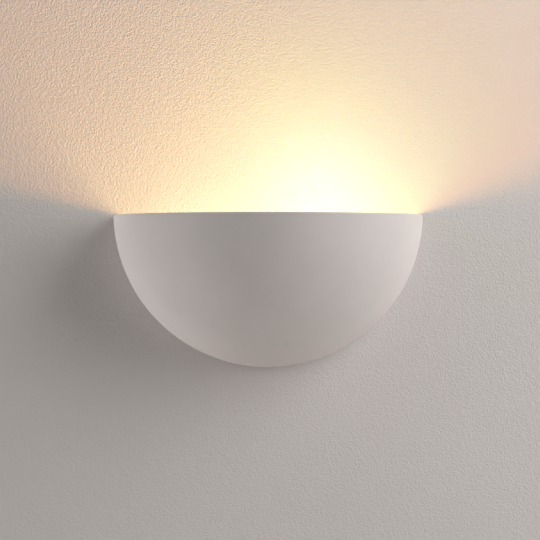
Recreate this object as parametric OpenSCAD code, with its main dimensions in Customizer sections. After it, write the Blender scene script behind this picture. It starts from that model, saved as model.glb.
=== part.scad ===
// Wall uplighter: a cast plaster half bowl that hangs on a folded steel strap, with a horizontal
// small-screw lampholder and an opal golf-ball lamp inside it.
// Frame: the wall is the plane y = 0, the light stands out of it towards -Y, and +Z is up.
// The origin lies on the wall, midway between the two fixing slots. All sizes are millimetres.

/* [Bowl] */
// Width of the bowl across the wall
bowl_w = 310; // [304:1:316]
// Height from the rim down to the lowest point
bowl_h = 152.5; // [149:0.5:155]
// How far the bowl stands out from the wall
bowl_out = 120; // [114:1:126]
// Radius of the two sides of the bowl's curve, seen from above
side_r = 95; // [90:1:100]
// Thickness of the plaster
bowl_wall = 9; // [8:0.5:10]
// Height of the rim above the fixing slots
rim_up = 58; // [56:1:60]

/* [Bosses and hanger plates] */
// Distance from the bowl's side to the inner face of its boss
boss_reach = 33; // [31:1:34]
// Height of a boss
boss_h = 20; // [16:1:24]
// How far a boss's front face is from the wall
boss_out = 30; // [29:1:33]
// Gap between a boss and the wall
boss_back = 1.5; // [1:0.5:2]
// Thickness of the hanger plates
hanger_t = 1.5; // [1:0.5:2]
// Depth of a hanger plate, out from the wall
hanger_w = 18; // [16:1:20]
// Depth of the plate's keyed end inside the boss
key_w = 24; // [22:1:26]
// Length of the keyed end
key_len = 6; // [4:1:8]
// How far the plate reaches into the boss
hanger_grip = 12; // [10:1:14]
// How far the plate reaches past the thumb screw's axis
hanger_lip = 6.5; // [5.5:0.5:7]
// Clearance beside the thumb screw in the plate's slot
slot_play = 0.3; // [0.3:0.1:0.6]

/* [Wall strap] */
// How far the strap reaches past the thumb screws
strap_end = 12; // [11:1:13]
// How far the strap reaches above the slots
strap_up = 18; // [17:0.5:19]
// How far the strap reaches below the slots
strap_down = 14; // [14:0.5:16]
// Thickness of the strap
strap_t = 2; // [1.5:0.5:3]
// Radius of the strap's corners
strap_corner = 6; // [3:1:8]
// Distance between the two fixing slots
slot_spacing = 160; // [156:1:164]
// Length of a slot, end to end
slot_len = 12; // [10:1:14]
// Width of a slot
slot_w = 5.5; // [4.5:0.5:6.5]
// Width of a tab
tab_w = 20; // [18:1:22]
// How far a tab reaches out from the wall
tab_out = 26; // [25:1:28]

/* [Thumb screws] */
// Distance from the bowl's side to the thumb screw's axis
thumb_reach = 47; // [46:1:48]
// Distance of the thumb screws from the wall
thumb_out = 15; // [14:0.5:16]
// Radius of the screw thread
thumb_thread_r = 2; // [1.5:0.5:2.5]
// Radius of the knurled head
thumb_head_r = 7; // [6:0.5:8]
// Height of the knurled head
thumb_head_h = 9; // [7:1:11]
// How far the thread reaches below its nut
thumb_tail = 4; // [2:1:5]
// Number of grooves round the head
knurl_count = 28; // [20:1:32]
// Radius of a groove
knurl_r = 0.5; // [0.4:0.1:0.6]
// Radius of the washer
thumb_washer_r = 5; // [4.5:0.5:6]
// Thickness of the washer
thumb_washer_t = 0.8; // [0.5:0.1:1.2]
// Gap between the washer and the hanger plate
clamp_gap = 0.1; // [0.1:0.05:0.3]
// Width across the flats of the tab's nut
tab_nut_af = 7; // [7:0.5:9]
// Height of the tab's nut
tab_nut_h = 3.2; // [2.5:0.1:4]

/* [Cable bush] */
// Distance of the cable hole to the right of the middle
bush_x = 42; // [40:1:44]
// Radius of the bush's bore
bush_bore_r = 4; // [3.5:0.5:4.5]
// Radius of the bush's sleeve in the strap
bush_sleeve_r = 6; // [5.5:0.5:6.5]
// Radius of the bush's flange
bush_flange_r = 8; // [7.5:0.5:9]
// Thickness of the bush's flange
bush_flange_t = 2; // [1.5:0.5:3]

/* [Lampholder arm] */
// Place of the lampholder's seat, to the left of the middle
seat_x = -30; // [-32:1:-29]
// Distance of the lamp's axis from the wall
lamp_out = 48; // [46:1:52]
// Height of the lamp's axis above the slots
lamp_up = 18; // [16:1:20]
// Thickness of the arm
arm_t = 2; // [1.5:0.5:2.5]
// Radius of the arm's round end
arm_end_r = 12; // [11:0.5:13]
// Height of the arm's lower edge at the strap
arm_low = 2; // [1.5:0.5:3]
// Height of the arm's foot
arm_foot_h = 14; // [12:1:15]
// Length of the arm's foot, along the strap
arm_foot_len = 24; // [22:1:26]
// Distance from the arm to its first screw
arm_screw_x = 7; // [6:0.5:8]
// Distance between the arm's two screws
arm_screw_pitch = 11; // [10:0.5:12]
// Thread radius of the arm's screws
arm_screw_r = 2; // [1.5:0.5:2.5]
// Head radius of the arm's screws
arm_head_r = 3.75; // [3:0.25:4.5]
// Head height of the arm's screws
arm_head_h = 2.4; // [2:0.2:3]

/* [Nipple] */
// Outer radius of the hollow nipple
nipple_r = 5; // [4.5:0.5:5]
// Inner radius of the hollow nipple
nipple_bore_r = 4; // [3.5:0.25:4]
// How far the nipple goes into the lampholder
nipple_in = 6; // [5:0.5:7]
// How far the nipple stands out behind the arm
nipple_tail = 8; // [6:0.5:9]
// Width across the flats of the nipple's nut
nipple_nut_af = 14; // [13:0.5:15]
// Thickness of the nipple's nut
nipple_nut_h = 3; // [2.5:0.5:4]
// Radius of the lock washer
lock_washer_r = 8; // [7:0.5:9]
// Thickness of the lock washer
lock_washer_t = 0.8; // [0.6:0.1:1]

/* [Lampholder] */
// Length of the lampholder's base
base_len = 18; // [17:1:19]
// Radius of the base's seat on the arm
base_seat_r = 8; // [7.5:0.5:9]
// Length of the base's domed end
base_dome = 10; // [8:1:11]
// Outer radius of the lampholder
holder_r = 14; // [13.5:0.5:15]
// Radius of the base's inner room
base_room_r = 10; // [9.5:0.25:10.25]
// Length of the lampholder's skirt
skirt_len = 34; // [33:0.5:35]
// Inner radius of the skirt
skirt_room_r = 10.2; // [9.5:0.1:10.5]
// Radius of the skirt's mouth
mouth_r = 9; // [8.8:0.1:9.2]
// Length of the lip round the mouth
lip_len = 2; // [1.5:0.5:3]
// Bevel of the mouth's outer edge
mouth_bevel = 1.5; // [0.5:0.5:2]
// Radius of the insulating core
core_r = 10.8; // [10.7:0.1:11]
// Length of the insulating core
core_len = 7; // [6:0.5:7.5]
// How far the core reaches back into the base
core_lap = 2; // [1:0.5:2.5]
// Radial gap round the core
core_gap = 0.2; // [0.1:0.1:0.3]
// Length of the screw shell
shell_len = 22; // [20:0.5:23]
// Thickness of the screw shell
shell_t = 0.4; // [0.3:0.1:0.6]
// Height of the centre contact
contact_h = 3.3; // [2.5:0.1:3.5]
// Width of the centre contact
contact_w = 4; // [3:0.5:5]
// Thickness of the centre contact
contact_t = 0.5; // [0.3:0.1:0.6]
// Length of a terminal
terminal_len = 4.5; // [4:0.5:5]
// Width of a terminal
terminal_w = 5; // [4.5:0.5:5.5]
// Height of a terminal
terminal_h = 4; // [3.5:0.5:4]
// Distance of each terminal from the lamp's axis
terminal_off = 5; // [4.5:0.5:5.5]
// Thread radius of a terminal's screw
terminal_screw_r = 1.2; // [1:0.1:1.4]
// Head radius of a terminal's screw
terminal_head_r = 1.9; // [1.6:0.1:2]
// Head height of a terminal's screw
terminal_head_h = 1.2; // [1:0.1:1.4]

/* [Lamp] */
// Overall length of the lamp
lamp_len = 78; // [76:0.5:80]
// Radius of the globe
globe_r = 22.5; // [22:0.25:23]
// Thickness of the globe
globe_t = 1.2; // [1:0.1:1.5]
// Radius where the globe meets the housing
joint_r = 16.5; // [16:0.25:17]
// Radius of the housing's neck
neck_r = 8; // [7.8:0.1:8.2]
// Thickness of the housing
housing_t = 3; // [2.5:0.1:3]
// Length of the cap's contact and insulator
cap_end_len = 4.5; // [4:0.5:5]
// Height of the tip contact
tip_h = 1; // [0.8:0.1:1.2]
// Radius of the tip contact
tip_r = 2.4; // [2:0.1:2.6]
// Length of the cap's thread
cap_thread_len = 16; // [15:0.5:17]
// Crest radius of the cap's thread
cap_r = 6.95; // [6.85:0.05:7]
// Depth of the cap's thread
cap_thread_depth = 0.45; // [0.3:0.05:0.5]
// Pitch of the cap's thread
cap_pitch = 2.82; // [2.6:0.02:3]
// Thickness of the cap
cap_t = 0.3; // [0.25:0.05:0.3]
// Length of the cap's plain collar
collar_len = 4; // [3:0.5:4.5]
// Radius of the cap's plain collar
collar_r = 7.6; // [7.4:0.1:7.8]
// Radial gap between the lamp's cap and the screw shell
cap_gap = 0.3; // [0.3:0.05:0.5]
// Gap between the lamp's tip and the centre contact
tip_gap = 0.2; // [0.1:0.1:0.4]
// Radius of the light-emitting board
board_r = 14.4; // [14:0.1:14.8]
// Thickness of the light-emitting board
board_t = 1.6; // [1:0.1:2]
// Number of light-emitting chips
chip_count = 8; // [6:1:10]
// Width of a chip
chip_w = 3; // [2:0.5:3.5]
// Height of a chip
chip_h = 0.7; // [0.5:0.1:1]
// Radius of the ring of chips
chip_ring_r = 9; // [8:0.5:10]
// Length of the driver board
driver_len = 24; // [22:0.5:25]
// Width of the driver board
driver_w = 9; // [8:0.2:9.2]
// Thickness of the driver board
driver_t = 1.2; // [1:0.1:1.6]
// Distance from the lamp's end to the driver board
driver_from_tip = 6; // [5.5:0.5:7]

/* [Terminal block] */
// Distance of the block to the right of the middle
block_x = 14.5; // [14:0.5:15.5]
// Depth of the block along its wires
block_w = 17; // [16:0.5:18]
// How far the block stands out from the strap
block_h = 14; // [13:0.5:15]
// Distance between its ways
way_pitch = 10; // [9.6:0.2:10]
// Length of the block past its outer ways
block_end = 4; // [3.5:0.5:4]
// Height of a way's axis above the strap
way_up = 6; // [5.5:0.5:6.5]
// Width of a brass clamp
clamp_w = 5; // [4.5:0.25:5]
// Length of a brass clamp
clamp_len = 15; // [14:0.5:16]
// Wire bore of a brass clamp
clamp_bore_r = 1.6; // [1.5:0.1:1.8]
// Gap round a brass clamp
clamp_fit = 0.1; // [0.05:0.05:0.15]
// Thread radius of the clamping screws
way_screw_r = 1.25; // [1:0.05:1.4]
// Distance of each clamping screw from the middle of its clamp
way_screw_off = 4; // [3.5:0.25:4.5]
// Radius of the screw wells
well_r = 2; // [1.75:0.05:2.1]
// Depth of the clamping screws below the block's face
well_depth = 1; // [0.5:0.25:2]
// Thread radius of the block's fixing screws
fixing_r = 1.25; // [1:0.05:1.3]
// Head radius of the block's fixing screws
fixing_head_r = 1.9; // [1.6:0.1:2]
// Head height of the block's fixing screws
fixing_head_h = 1.6; // [1.2:0.2:2]
// Thickness of plastic under a fixing screw's head
fixing_floor = 4; // [3:0.5:5]

/* [Earth connection] */
// Place of the earth screw, to the left of the middle
earth_x = -20; // [-21:0.5:-19]
// Height of the earth screw
earth_z = -8; // [-9:0.5:-8]
// Thread radius of the earth screw
earth_screw_r = 2; // [1.5:0.25:2]
// Head radius of the earth screw
earth_head_r = 3.5; // [3:0.25:4]
// Head height of the earth screw
earth_head_h = 2.4; // [2:0.2:3]
// Radius of the earth washer
earth_washer_r = 4.2; // [4:0.1:4.5]
// Thickness of the earth washer
earth_washer_t = 0.6; // [0.4:0.1:0.8]
// Radius of the ring terminal
ring_r = 4; // [3.5:0.25:4.25]
// Thickness of the ring terminal
ring_t = 0.8; // [0.6:0.1:1]
// Length of the ring terminal's barrel
barrel_len = 6; // [5:0.5:7]
// Outer radius of the ring terminal's barrel
barrel_r = 1.9; // [1.8:0.1:2]
// Distance from the ring's centre to its barrel
barrel_from_ring = 6; // [5.5:0.5:6.5]

/* [Leads] */
// Radius of the leads
lead_r = 1.2; // [1:0.05:1.25]

/* [Fits] */
// Radial play of a screw in its threaded hole
thread_play = 0.05; // [0.02:0.01:0.1]
// Radial play of a screw or nipple in a plain hole
hole_play = 0.3; // [0.2:0.05:0.4]
// Radial play of a lead in its terminal
wire_play = 0.3; // [0.2:0.05:0.3]
// How far a screw's end stays inside the strap's back
end_recess = 0.3; // [0.2:0.1:0.5]

/* [Hidden] */
$fn = 96;

// How far a cutting shape runs past what it cuts
past = 1;
plaster = [0.86, 0.84, 0.82];
steel = [0.72, 0.73, 0.74];
brass = [0.80, 0.66, 0.36];
bakelite = [0.93, 0.92, 0.88];
opal = [0.98, 0.95, 0.86];

// Bowl: its outline on the wall is a circle about this height, and its plan is two side arcs and a front arc
half_w = bowl_w / 2;
axis_up = rim_up - bowl_h + half_w;
front_r = (pow(half_w, 2) + pow(bowl_out, 2) - 2 * half_w * side_r) / (2 * (bowl_out - side_r));
side_centre = [half_w - side_r, 0];
front_centre = [0, bowl_out - front_r];

// Bosses, hanger plates and strap, which keep their distance from the bowl's sides
boss_x = half_w - boss_reach;
thumb_x = half_w - thumb_reach;
strap_half = thumb_x + strap_end;

// Clamping stack on each tab, from the tab's upper face
tab_top = strap_up;
hanger_top = tab_top + hanger_t;
washer_low = hanger_top + clamp_gap;
head_low = washer_low + thumb_washer_t;
thumb_low = tab_top - strap_t - tab_nut_h - thumb_tail;

// Lampholder, along the lamp's axis
arm_back = seat_x - arm_t;
skirt_x = seat_x + base_len;
core_x = skirt_x - core_lap;
core_front = core_x + core_len;
core_seat_r = core_r + core_gap;
shell_r = cap_r + cap_gap;

// Lamp, along the same axis
tip_x = core_front + contact_h + tip_gap;
cap_x = tip_x + cap_end_len;
collar_x = cap_x + cap_thread_len;
housing_x = collar_x + collar_len;
globe_x = tip_x + lamp_len - globe_r;
joint_x = globe_x - sqrt(pow(globe_r, 2) - pow(joint_r, 2));
cap_room_r = cap_r - cap_thread_depth - cap_t;

// Wiring
way_out = strap_t + way_up;
way_heights = [way_pitch, 0, -way_pitch];
block_len = 2 * (way_pitch + block_end);
ring_out = strap_t + earth_washer_t;
barrel_out = ring_out + barrel_r;

// Routes of the leads, by hand: from the terminal block under the arm and round into the nipple
live_route = [
    [11, -8, 10], [2, -8, 10], [-8, -8.5, 8], [-20, -9, 2.5], [-32, -9, -2], [-45, -10, -2],
    [-57, -15, 1], [-64, -24, 7], [-65, -36, 14], [-58, -45, 19], [-47, -48, 19.5],
    [-36, -48, 19.5], [-26, -48, 19.5], [-22.5, -48, 21], [-19, -48, 23], [-16, -48, 23]
];
neutral_route = [
    [11, -8, 0], [2, -8, 0], [-8, -9, -1], [-20, -9.5, -4], [-32, -9.5, -6], [-45, -11, -7],
    [-58, -17, -4], [-66, -27, 2], [-68, -38, 9], [-60, -46, 15], [-48, -48, 16.5],
    [-36, -48, 16.5], [-26, -48, 16.5], [-22.5, -48, 15], [-19, -48, 13], [-16, -48, 13]
];
earth_route = [
    [11, -8, -10], [4, -8, -10], [-0.5, -7, -9.5], [-4.5, -4.7, -8.2], [-7, -4.5, -8],
    [-9, -4.5, -8], [-10.5, -4.5, -8]
];
lead_sides = 8;
// A direction that no lead runs along, from which the rings' sides are turned
lead_turn = [0.4, 0.5, -0.8];

// Places a shape that is drawn upwards from the origin so that it grows out of the wall
module out_of_wall(x, out, z) {
    translate([x, -out, z])
        rotate([90, 0, 0])
            children();
}

// Places a shape that is drawn upwards from the origin so that it grows to the right on the lamp's axis
module along_lamp(x) {
    translate([x, -lamp_out, lamp_up])
        rotate([0, 90, 0])
            children();
}

module ring(outer_r, inner_r, h) {
    difference() {
        cylinder(r = outer_r, h = h);
        translate([0, 0, -past])
            cylinder(r = inner_r, h = h + 2 * past);
    }
}

module hexagon_nut(af, bore_r, h) {
    difference() {
        cylinder(r = af / sqrt(3), h = h, $fn = 6);
        translate([0, 0, -past])
            cylinder(r = bore_r, h = h + 2 * past);
    }
}

// A pan-head screw whose head stands on z = 0 and whose thread goes down from there
module pan_screw(thread_r, reach, head_r, head_h) {
    cross_w = head_r / 4;
    difference() {
        cylinder(r = head_r, h = head_h);
        for (turn = [0, 90])
            rotate([0, 0, turn])
                translate([-head_r * 0.6, -cross_w / 2, head_h / 2])
                    cube([head_r * 1.2, cross_w, head_h]);
    }
    translate([0, 0, -reach])
        cylinder(r = thread_r, h = reach + head_h / 4);
}

// ---- Bowl ----

// Half of the bowl's plan: x across from its axis, y out of the wall, smaller by the inset
module plan_outline(inset, behind = 0) {
    span = 2 * bowl_w;
    split = (side_centre - front_centre) / norm(side_centre - front_centre) * span;
    intersection() {
        translate(front_centre)
            circle(r = front_r - inset, $fn = 180);
        polygon([side_centre, front_centre + split, [0, span], [0, 0]]);
    }
    intersection() {
        translate(side_centre)
            circle(r = side_r - inset, $fn = 180);
        polygon([side_centre, front_centre + split, [span, span], [span, 0]]);
    }
    if (behind > 0)
        translate([0, -behind])
            square([half_w - inset, behind]);
}

// The bowl's solid form about its axis, from the wall outwards
module bowl_form(inset, behind = 0) {
    out_of_wall(0, 0, axis_up)
        rotate_extrude($fn = 180)
            plan_outline(inset, behind);
}

module below_rim() {
    translate([-bowl_w, -2 * bowl_out, rim_up - 2 * bowl_h])
        cube([2 * bowl_w, 3 * bowl_out, 2 * bowl_h]);
}

// A hanger plate's outline from above, on the right
module hanger_outline() {
    grip_end = boss_x + hanger_grip;
    translate([thumb_x - hanger_lip, -thumb_out - hanger_w / 2])
        square([grip_end - thumb_x + hanger_lip, hanger_w]);
    translate([grip_end - key_len, -thumb_out - key_w / 2])
        square([key_len, key_w]);
}

module hanger_blank_right() {
    translate([0, 0, tab_top])
        linear_extrude(hanger_t)
            hanger_outline();
}

module boss_right() {
    middle = tab_top + hanger_t / 2;
    intersection() {
        bowl_form(bowl_wall / 2);
        translate([boss_x, -boss_out, middle - boss_h / 2])
            cube([half_w - boss_x, boss_out - boss_back, boss_h]);
    }
}

// The plaster is cast round the hanger plates, so their blanks are cut out of all of it
module plaster_shell() {
    color(plaster)
        difference() {
            union() {
                difference() {
                    intersection() {
                        bowl_form(0);
                        below_rim();
                    }
                    bowl_form(bowl_wall, past);
                }
                boss_right();
                mirror([1, 0, 0])
                    boss_right();
            }
            hanger_blank_right();
            mirror([1, 0, 0])
                hanger_blank_right();
        }
}

module hanger_plate_right() {
    slot_r = thumb_thread_r + slot_play;
    color(steel)
        difference() {
            hanger_blank_right();
            translate([thumb_x, -thumb_out, tab_top - past])
                cylinder(r = slot_r, h = hanger_t + 2 * past);
            translate([thumb_x - slot_r, -thumb_out, tab_top - past])
                cube([2 * slot_r, hanger_w, hanger_t + 2 * past]);
        }
}

module hanger_plate_left() {
    mirror([1, 0, 0])
        hanger_plate_right();
}

// ---- Wall strap ----

// The strap's outline on the wall, with round corners
module strap_outline() {
    tall = strap_up + strap_down;
    translate([-strap_half + strap_corner, -strap_down])
        square([2 * (strap_half - strap_corner), tall]);
    translate([-strap_half, -strap_down + strap_corner])
        square([2 * strap_half, tall - 2 * strap_corner]);
    for (x = [-1, 1] * (strap_half - strap_corner))
        for (z = [-strap_down + strap_corner, strap_up - strap_corner])
            translate([x, z])
                circle(r = strap_corner);
}

// A slot across the strap, centred on the origin
module slot_outline() {
    straight = slot_len - slot_w;
    square([straight, slot_w], center = true);
    for (x = [-1, 1] * straight / 2)
        translate([x, 0])
            circle(d = slot_w);
}

module tab_right() {
    difference() {
        translate([thumb_x - tab_w / 2, -tab_out, tab_top - strap_t])
            cube([tab_w, tab_out, strap_t]);
        translate([thumb_x, -thumb_out, tab_top - strap_t - past])
            cylinder(r = thumb_thread_r + hole_play, h = strap_t + 2 * past);
    }
}

// Places of the arm's screws, as [x, z] on the strap
arm_screw_places = [
    for (i = [0, 1]) [seat_x - arm_screw_x - arm_t - i * arm_screw_pitch, arm_low + arm_foot_h / 2]
];
// Places of the terminal block's fixing screws, between its ways
fixing_places = [for (z = [-1, 1] * way_pitch / 2) [block_x, z]];

module wall_bracket() {
    color(steel) {
        difference() {
            out_of_wall(0, 0, 0)
                linear_extrude(strap_t)
                    difference() {
                        strap_outline();
                        for (x = [-1, 1] * slot_spacing / 2)
                            translate([x, 0])
                                slot_outline();
                    }
            out_of_wall(bush_x, -past, 0)
                cylinder(r = bush_sleeve_r, h = strap_t + 2 * past);
            for (place = arm_screw_places)
                out_of_wall(place.x, -past, place.y)
                    cylinder(r = arm_screw_r + thread_play, h = strap_t + 2 * past);
            for (place = fixing_places)
                out_of_wall(place.x, -past, place.y)
                    cylinder(r = fixing_r + thread_play, h = strap_t + 2 * past);
            out_of_wall(earth_x, -past, earth_z)
                cylinder(r = earth_screw_r + thread_play, h = strap_t + 2 * past);
        }
        tab_right();
        mirror([1, 0, 0])
            tab_right();
    }
}

module tab_nuts() {
    color(steel)
        for (x = [-1, 1] * thumb_x)
            translate([x, -thumb_out, tab_top - strap_t - tab_nut_h])
                hexagon_nut(tab_nut_af, thumb_thread_r + thread_play, tab_nut_h);
}

module cable_bush() {
    color("dimgray")
        out_of_wall(bush_x, 0, 0)
            difference() {
                union() {
                    cylinder(r = bush_sleeve_r, h = strap_t);
                    translate([0, 0, strap_t])
                        cylinder(r = bush_flange_r, h = bush_flange_t);
                }
                translate([0, 0, -past])
                    cylinder(r = bush_bore_r, h = strap_t + bush_flange_t + 2 * past);
            }
}

// ---- Thumb screws ----

module thumb_screw(x) {
    bevel = thumb_head_h / 10;
    color(steel)
        translate([x, -thumb_out, head_low]) {
            difference() {
                rotate_extrude()
                    polygon([
                        [0, 0], [thumb_head_r - bevel, 0], [thumb_head_r, bevel],
                        [thumb_head_r, thumb_head_h - bevel], [thumb_head_r - bevel, thumb_head_h],
                        [0, thumb_head_h]
                    ]);
                for (i = [0 : knurl_count - 1])
                    rotate([0, 0, i * 360 / knurl_count])
                        translate([thumb_head_r, 0, -past])
                            cylinder(r = knurl_r, h = thumb_head_h + 2 * past, $fn = 16);
            }
            translate([0, 0, thumb_low - head_low])
                cylinder(r = thumb_thread_r, h = head_low - thumb_low + bevel);
        }
}

module thumb_washer(x) {
    color(steel)
        translate([x, -thumb_out, washer_low])
            ring(thumb_washer_r, thumb_thread_r + thread_play, thumb_washer_t);
}

// ---- Lampholder arm ----

module holder_arm() {
    foot_z = arm_low + arm_foot_h / 2;
    color(steel)
        difference() {
            union() {
                translate([arm_back, 0, 0])
                    rotate([90, 0, 90])
                        linear_extrude(arm_t) {
                            polygon([
                                [-strap_t, arm_low], [-lamp_out, lamp_up - arm_end_r],
                                [-lamp_out, lamp_up + arm_end_r], [-strap_t, arm_low + arm_foot_h]
                            ]);
                            translate([-lamp_out, lamp_up])
                                circle(r = arm_end_r);
                        }
                translate([arm_back - arm_foot_len, -strap_t - arm_t, arm_low])
                    cube([arm_foot_len + arm_t, arm_t, arm_foot_h]);
            }
            along_lamp(arm_back - past)
                cylinder(r = nipple_r + hole_play, h = arm_t + 2 * past);
            for (place = arm_screw_places)
                out_of_wall(place.x, strap_t - past, foot_z)
                    cylinder(r = arm_screw_r + hole_play, h = arm_t + 2 * past);
        }
}

module arm_screws() {
    color(steel)
        for (place = arm_screw_places)
            out_of_wall(place.x, strap_t + arm_t, place.y)
                pan_screw(arm_screw_r, strap_t + arm_t - end_recess, arm_head_r, arm_head_h);
}

module threaded_nipple() {
    color(brass)
        along_lamp(arm_back - nipple_tail)
            ring(nipple_r, nipple_bore_r, nipple_tail + arm_t + nipple_in);
}

module nipple_nut() {
    color(brass)
        along_lamp(arm_back - lock_washer_t - nipple_nut_h)
            hexagon_nut(nipple_nut_af, nipple_r + thread_play, nipple_nut_h);
}

module nipple_lock_washer() {
    color(steel)
        along_lamp(arm_back - lock_washer_t)
            ring(lock_washer_r, nipple_r + hole_play, lock_washer_t);
}

// ---- Lampholder ----

module lampholder_base() {
    dome_steps = 8;
    dome = [
        for (i = [0 : dome_steps])
            let (a = 90 * i / dome_steps)
                [base_seat_r + (holder_r - base_seat_r) * sin(a), base_dome * (1 - cos(a))]
    ];
    color(bakelite)
        along_lamp(seat_x)
            difference() {
                rotate_extrude()
                    polygon(concat([[0, 0]], dome, [[holder_r, base_len], [0, base_len]]));
                translate([0, 0, -past])
                    cylinder(r = nipple_r + thread_play, h = base_len);
                translate([0, 0, nipple_in])
                    cylinder(r = base_room_r, h = base_len);
                translate([0, 0, base_len - core_lap])
                    cylinder(r = core_seat_r, h = core_lap + past);
            }
}

module lampholder_skirt() {
    core_seat = core_len - core_lap;
    color(bakelite)
        along_lamp(skirt_x)
            difference() {
                rotate_extrude()
                    polygon([
                        [0, 0], [holder_r, 0], [holder_r, skirt_len - 2 * mouth_bevel],
                        [holder_r - mouth_bevel, skirt_len], [0, skirt_len]
                    ]);
                translate([0, 0, -past])
                    cylinder(r = core_seat_r, h = core_seat + past);
                translate([0, 0, core_seat])
                    cylinder(r = skirt_room_r, h = skirt_len - core_seat - lip_len);
                cylinder(r = mouth_r, h = skirt_len + past);
            }
}

module lampholder_core() {
    color("ivory")
        along_lamp(core_x)
            cylinder(r = core_r, h = core_len);
}

module lampholder_screw_shell() {
    color(brass)
        along_lamp(core_front)
            ring(shell_r + shell_t, shell_r, shell_len);
}

// A bent strip: a foot on the core, a riser and a leg under the lamp's tip
module lampholder_centre_contact() {
    foot = 1.3 * contact_w;
    color(brass)
        translate([core_front, -lamp_out + contact_w / 2, lamp_up])
            rotate([90, 0, 0])
                linear_extrude(contact_w)
                    polygon([
                        [0, -foot], [contact_t, -foot], [contact_t, contact_w / 4],
                        [contact_h - contact_t, contact_w / 2], [contact_h - contact_t, -contact_w / 2],
                        [contact_h, -contact_w / 2], [contact_h, contact_w / 2 + contact_t],
                        [0, contact_w / 4 + contact_t]
                    ]);
}

module lampholder_terminals() {
    color(brass)
        for (z = [-1, 1] * terminal_off)
            translate([core_x - terminal_len, -lamp_out, lamp_up + z])
                difference() {
                    translate([0, -terminal_w / 2, -terminal_h / 2])
                        cube([terminal_len, terminal_w, terminal_h]);
                    translate([-past, 0, 0])
                        rotate([0, 90, 0])
                            cylinder(r = lead_r + wire_play, h = terminal_len);
                    translate([terminal_len / 2, 0, 0])
                        rotate([90, 0, 0])
                            cylinder(r = terminal_screw_r + thread_play, h = terminal_w);
                }
}

module lampholder_terminal_screws() {
    thread = terminal_w / 2 - lead_r - thread_play;
    color(steel)
        for (z = [-1, 1] * terminal_off)
            out_of_wall(core_x - terminal_len / 2, lamp_out + terminal_w / 2, lamp_up + z)
                pan_screw(terminal_screw_r, thread, terminal_head_r, terminal_head_h);
}

// ---- Terminal block ----

module terminal_block_body() {
    channel = clamp_w + 2 * clamp_fit;
    color("white")
        difference() {
            translate([block_x - block_w / 2, -strap_t - block_h, -block_len / 2])
                cube([block_w, block_h, block_len]);
            for (z = way_heights) {
                translate([block_x - block_w / 2 - past, -way_out - channel / 2, z - channel / 2])
                    cube([block_w + 2 * past, channel, channel]);
                for (x = [-1, 1] * way_screw_off)
                    out_of_wall(block_x + x, way_out, z)
                        cylinder(r = well_r, h = block_h);
            }
            for (place = fixing_places) {
                out_of_wall(place.x, strap_t - past, place.y)
                    cylinder(r = fixing_r + thread_play, h = block_h);
                out_of_wall(place.x, strap_t + fixing_floor, place.y)
                    cylinder(r = fixing_head_r + clamp_fit, h = block_h);
            }
        }
}

module terminal_block_clamps() {
    color(brass)
        for (z = way_heights)
            translate([block_x - clamp_len / 2, -way_out, z])
                difference() {
                    translate([0, -clamp_w / 2, -clamp_w / 2])
                        cube([clamp_len, clamp_w, clamp_w]);
                    translate([-past, 0, 0])
                        rotate([0, 90, 0])
                            cylinder(r = clamp_bore_r, h = clamp_len + 2 * past);
                    for (x = [-1, 1] * way_screw_off)
                        translate([clamp_len / 2 + x, 0, 0])
                            rotate([90, 0, 0])
                                cylinder(r = way_screw_r + thread_play, h = clamp_w);
                }
}

module terminal_block_screws() {
    head_h = strap_t + block_h - well_depth - way_out - clamp_w / 2;
    thread = clamp_w / 2 - lead_r - thread_play;
    color(steel)
        for (z = way_heights)
            for (x = [-1, 1] * way_screw_off)
                out_of_wall(block_x + x, way_out + clamp_w / 2, z)
                    difference() {
                        union() {
                            cylinder(r = well_r - clamp_fit, h = head_h);
                            translate([0, 0, -thread])
                                cylinder(r = way_screw_r, h = thread + head_h / 2);
                        }
                        translate([-well_r, -way_screw_r / 4, head_h / 2])
                            cube([2 * well_r, way_screw_r / 2, head_h]);
                    }
}

module terminal_block_fixing_screws() {
    color(steel)
        for (place = fixing_places)
            out_of_wall(place.x, strap_t + fixing_floor, place.y)
                pan_screw(fixing_r, fixing_floor + strap_t - end_recess, fixing_head_r, fixing_head_h);
}

// ---- Leads and earth connection ----

function along(points, i) =
    let (last = len(points) - 1, step = points[min(i + 1, last)] - points[max(i - 1, 0)])
        step / norm(step);

// The point midway between two points of a route, on the cubic through them and their neighbours
function midway(route, i, last) =
    (9 * (route[i] + route[i + 1]) - route[max(i - 1, 0)] - route[min(i + 2, last)]) / 16;

// A smooth curve through the route's points, with one more point midway in each span
function smooth(route) =
    let (last = len(route) - 1)
        [
            for (i = [0 : last])
                for (half = i < last ? [0, 1] : [0])
                    half == 0 ? route[i] : midway(route, i, last)
        ];

module lead(route) {
    points = smooth(route);
    last = len(points) - 1;
    rings = [
        for (i = [0 : last])
            let (
                ahead = along(points, i),
                turned = cross(lead_turn, ahead),
                across = turned / norm(turned),
                upward = cross(ahead, across)
            )
                for (k = [0 : lead_sides - 1])
                    let (a = 360 * k / lead_sides)
                        points[i] + lead_r * (cos(a) * across + sin(a) * upward)
    ];
    sides = [
        for (i = [0 : last - 1])
            for (k = [0 : lead_sides - 1])
                let (next = (k + 1) % lead_sides, low = i * lead_sides, high = low + lead_sides)
                    for (part = [0, 1])
                        part == 0
                            ? [low + k, high + k, high + next]
                            : [low + k, high + next, low + next]
    ];
    first_cap = [for (k = [0 : lead_sides - 1]) k];
    last_cap = [for (k = [lead_sides - 1 : -1 : 0]) last * lead_sides + k];
    polyhedron(points = rings, faces = concat([first_cap, last_cap], sides));
}

module live_lead() {
    color("sienna")
        lead(live_route);
}

module neutral_lead() {
    color("steelblue")
        lead(neutral_route);
}

module earth_lead() {
    color("yellowgreen")
        lead(earth_route);
}

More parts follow.
